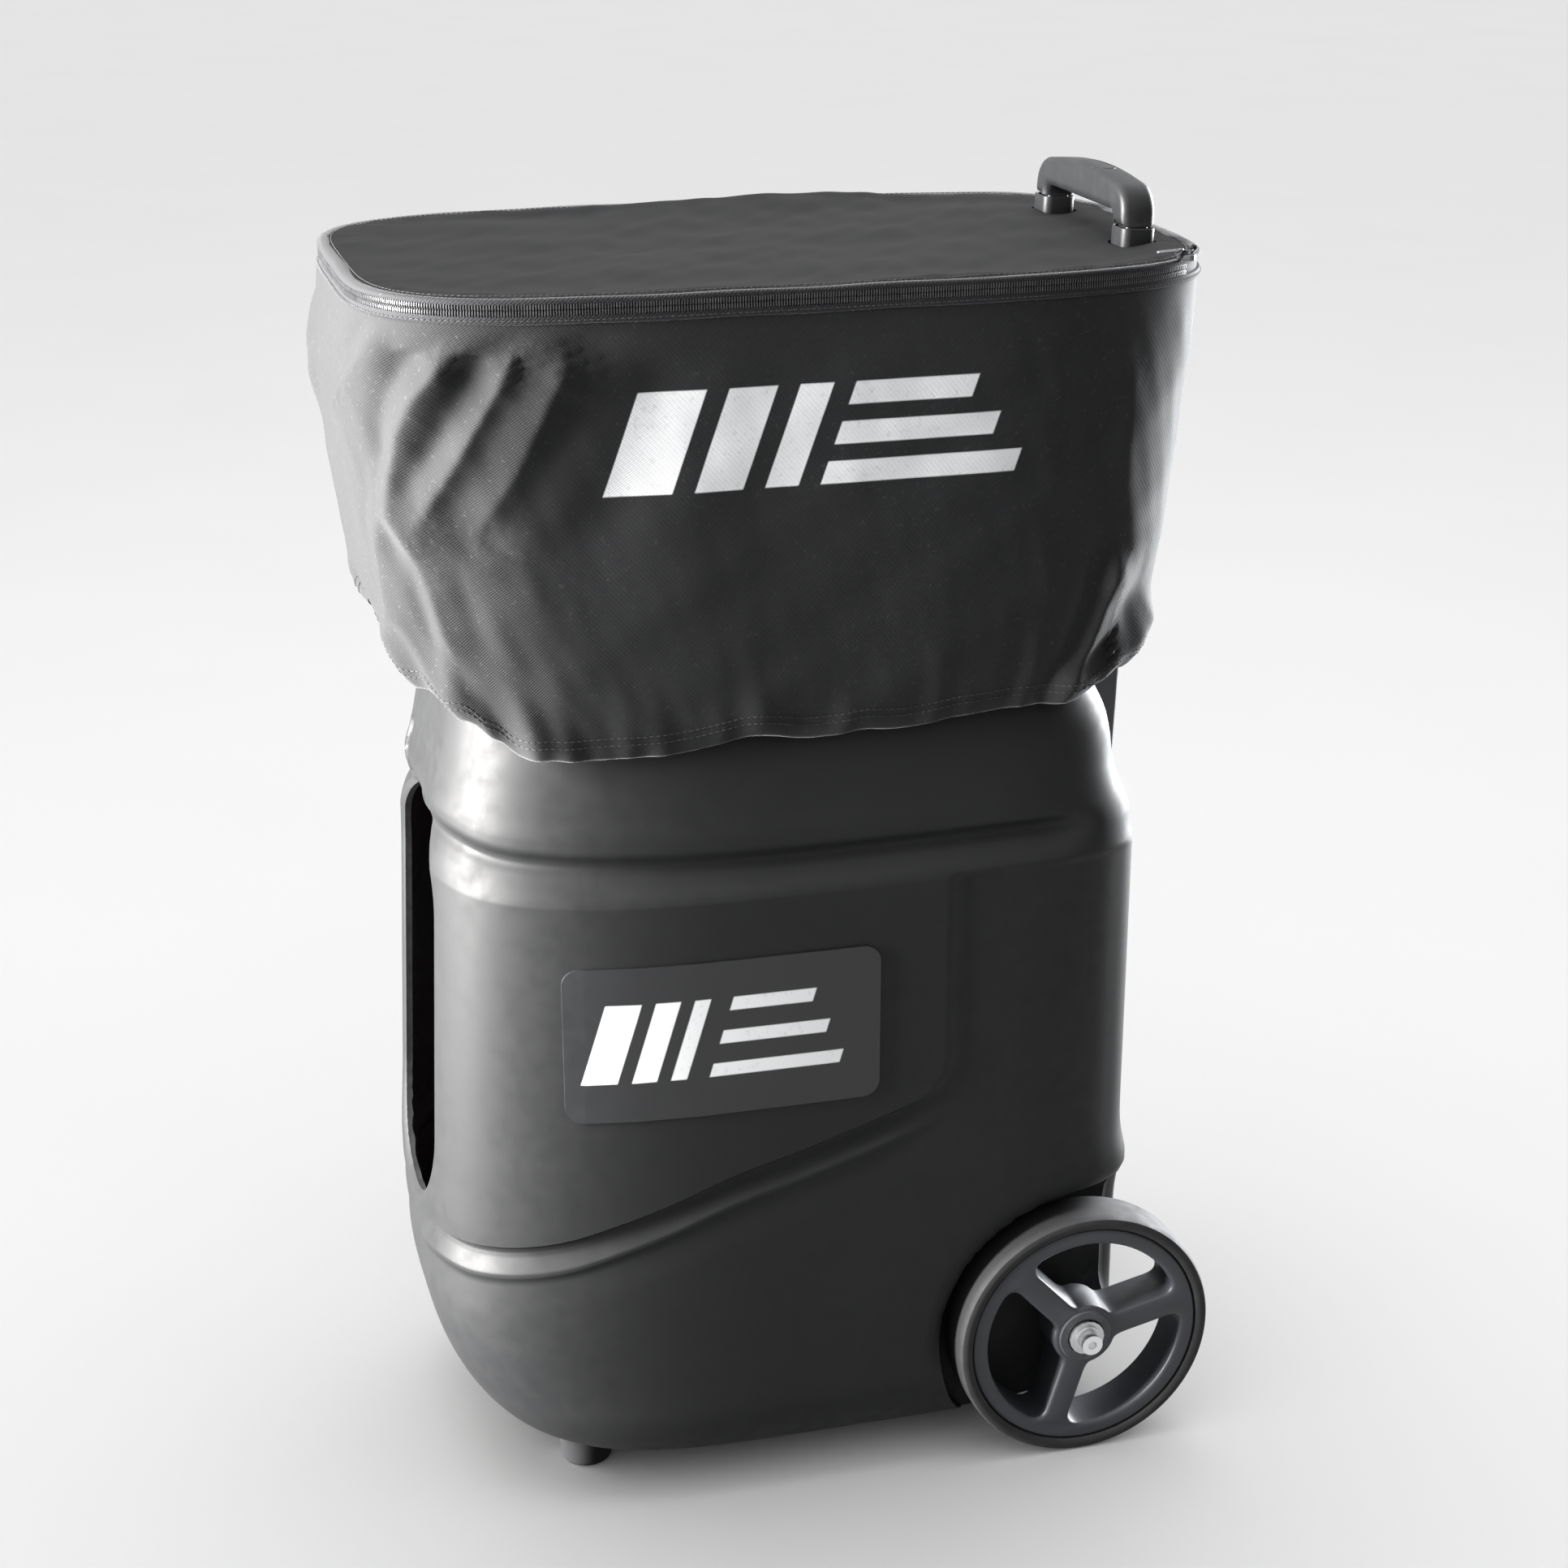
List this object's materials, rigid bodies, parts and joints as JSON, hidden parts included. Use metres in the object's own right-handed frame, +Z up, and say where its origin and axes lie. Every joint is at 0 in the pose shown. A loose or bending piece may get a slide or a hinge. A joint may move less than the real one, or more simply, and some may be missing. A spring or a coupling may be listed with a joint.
{
  "type": "tennis ball machine",
  "caption": "Wheeled ball thrower: black moulded body with a tall launch slot, soft zip-lidded hopper cover, pull-up trolley handle and inner feeder, launcher and drive.",
  "frame": {"origin": "on the floor, in the middle of the machine's outline", "axes": "+Z up, -X towards the launch slot at the front, +X towards the wheels and the handle, -Y the machine's left side"},
  "size_m": [0.489, 0.318, 0.7583],
  "materials": {
    "body_plastic": "black rotomoulded plastic with a fine grain",
    "inner_plastic": "dark grey moulded plastic",
    "frame_plastic": "grey glass-filled plastic",
    "wheel_plastic": "dark grey satin plastic",
    "tyre": "black soft tread",
    "foot_rubber": "black rubber",
    "throw_rubber": "red-brown grip rubber",
    "cover_fabric": "near-black nylon twill",
    "zipper": "black coil zip on tape",
    "steel": "plain steel",
    "chrome": "bright plated steel",
    "label_film": "dark printed film",
    "motor_can": "zinc-plated can",
    "battery_case": "dark grey case",
    "circuit_board": "green solder mask",
    "display_glass": "dark window",
    "grip_plastic": "smooth dark grey plastic",
    "button_red": "red plastic",
    "tube_aluminium": "dark anodised"
  },
  "bodies": {
    "base": {"body_shell": "body_plastic", "base_plate": "inner_plastic", "hopper_floor": "inner_plastic", "hopper_tub": "inner_plastic", "drop_chute": "inner_plastic", "control_panel": "inner_plastic", "tube_clamp_lower": "inner_plastic", "tube_clamp_upper": "inner_plastic", "front_foot_left": "foot_rubber", "front_foot_right": "foot_rubber", "rear_foot_left": "foot_rubber", "rear_foot_right": "foot_rubber", "hopper_cover": "cover_fabric", "cover_rear_flap": "cover_fabric", "zipper_band": "zipper", "zipper_slider": "steel", "axle_rod": "steel", "charge_socket": "steel", "axle_washer_left": "chrome", "axle_washer_right": "chrome", "axle_screw_left": "chrome", "axle_screw_right": "chrome", "side_label_left": "label_film", "side_label_right": "label_film", "feeder_motor": "motor_can", "swing_motor": "motor_can", "battery_pack": "battery_case", "control_board": "circuit_board", "display_window": "display_glass", "handle_outer_tube_left": "tube_aluminium", "handle_outer_tube_right": "tube_aluminium"},
    "wheel_left": {"wheel_rim_left": "wheel_plastic", "tyre_left": "tyre", "wheel_bearing_left": "steel"},
    "wheel_right": {"wheel_rim_right": "wheel_plastic", "tyre_right": "tyre", "wheel_bearing_right": "steel"},
    "lid": {"cover_lid": "cover_fabric"},
    "swing": {"swing_yoke": "frame_plastic", "pitch_motor": "motor_can"},
    "launcher": {"launcher_frame": "frame_plastic", "launch_muzzle": "inner_plastic", "ball_tray": "inner_plastic", "throw_motor_upper": "motor_can", "throw_motor_lower": "motor_can"},
    "thrower_upper": {"throw_wheel_upper": "throw_rubber"},
    "thrower_lower": {"throw_wheel_lower": "throw_rubber"},
    "feeder": {"feeder_rotor": "inner_plastic"},
    "handle_middle": {"handle_middle_tube_left": "tube_aluminium", "handle_middle_tube_right": "tube_aluminium"},
    "handle_top": {"handle_grip": "grip_plastic", "handle_inner_tube_left": "tube_aluminium", "handle_inner_tube_right": "tube_aluminium"},
    "handle_release": {"release_button": "grip_plastic"},
    "speed_dial": {"speed_knob": "grip_plastic"},
    "feed_dial": {"feed_knob": "grip_plastic"},
    "start_key": {"start_button": "button_red"},
    "power_switch": {"power_rocker": "grip_plastic"}
  },
  "joints": [
    {"name": "wheel_left_spin", "type": "hinge", "parent": "base", "child": "wheel_left", "pos_m": [0.1645, 0, 0.08], "axis": [0, 1, 0], "continuous": true},
    {"name": "wheel_right_spin", "type": "hinge", "parent": "base", "child": "wheel_right", "pos_m": [0.1645, 0, 0.08], "axis": [0, 1, 0], "continuous": true},
    {"name": "lid_hinge", "type": "hinge", "parent": "base", "child": "lid", "pos_m": [0.18, 0, 0.7223], "axis": [0, 1, 0], "range_deg": [0, 80]},
    {"name": "aim_swing", "type": "hinge", "parent": "base", "child": "swing", "pos_m": [-0.08, 0, 0.05], "axis": [0, 0, 1], "range_deg": [-10, 10]},
    {"name": "aim_pitch", "type": "hinge", "parent": "swing", "child": "launcher", "pos_m": [-0.08, 0, 0.292], "axis": [0, 1, 0], "range_deg": [-10, 32]},
    {"name": "thrower_upper_spin", "type": "hinge", "parent": "launcher", "child": "thrower_upper", "pos_m": [-0.08, 0, 0.372], "axis": [0, 1, 0], "continuous": true},
    {"name": "thrower_lower_spin", "type": "hinge", "parent": "launcher", "child": "thrower_lower", "pos_m": [-0.08, 0, 0.212], "axis": [0, 1, 0], "continuous": true},
    {"name": "feeder_spin", "type": "hinge", "parent": "base", "child": "feeder", "pos_m": [-0.024, 0, 0.5], "axis": [0, 0, 1], "continuous": true},
    {"name": "handle_lower_stage", "type": "slide", "parent": "base", "child": "handle_middle", "axis": [0.0401, 0, 0.9992], "range_m": [0, 0.2]},
    {"name": "handle_upper_stage", "type": "slide", "parent": "handle_middle", "child": "handle_top", "axis": [0.0401, 0, 0.9992], "range_m": [0, 0.2]},
    {"name": "release_press", "type": "slide", "parent": "handle_top", "child": "handle_release", "axis": [-0.0401, 0, -0.9992], "range_m": [0, 0.003], "stiffness_N_per_m": 400},
    {"name": "speed_turn", "type": "hinge", "parent": "base", "child": "speed_dial", "pos_m": [0.205, -0.042, 0.134], "axis": [1, 0, 0], "range_deg": [-135, 135]},
    {"name": "feed_turn", "type": "hinge", "parent": "base", "child": "feed_dial", "pos_m": [0.205, -0.014, 0.134], "axis": [1, 0, 0], "range_deg": [-135, 135]},
    {"name": "start_press", "type": "slide", "parent": "base", "child": "start_key", "axis": [-1, 0, 0], "range_m": [0, 0.0025], "stiffness_N_per_m": 400},
    {"name": "power_rock", "type": "hinge", "parent": "base", "child": "power_switch", "pos_m": [0.2045, 0.04, 0.171], "axis": [0, 1, 0], "range_deg": [-8, 8]}
  ]
}
